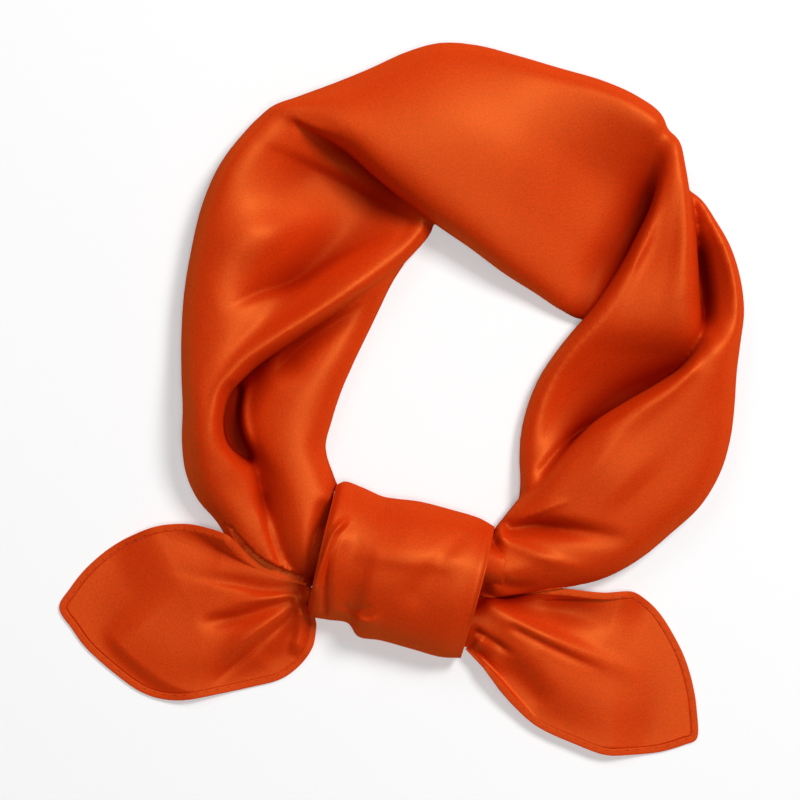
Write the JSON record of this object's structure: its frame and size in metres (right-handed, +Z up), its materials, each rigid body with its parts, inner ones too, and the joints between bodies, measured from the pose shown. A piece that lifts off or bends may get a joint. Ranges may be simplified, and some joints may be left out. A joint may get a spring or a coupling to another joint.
{
  "type": "neckerchief",
  "caption": "Soft satin scarf folded into a band, twisted into an open ring and tied in a wrap knot, with pointed ends spread flat.",
  "frame": {"origin": "middle of the bounding box in plan, on the surface that the neckerchief lies on", "axes": "+Z up out of the surface, +Y from the knot towards the back of the neck ring, +X to the right seen from above"},
  "size_m": [0.3244, 0.338, 0.0388],
  "materials": {
    "satin": "orange satin weave with a soft sheen",
    "hem": "rolled and stitched satin hem"
  },
  "bodies": {
    "root": {"neck_band": "satin", "knot_wrap": "satin", "left_end": "satin", "right_end": "satin", "left_end_hem": "hem", "right_end_hem": "hem"}
  },
  "joints": []
}
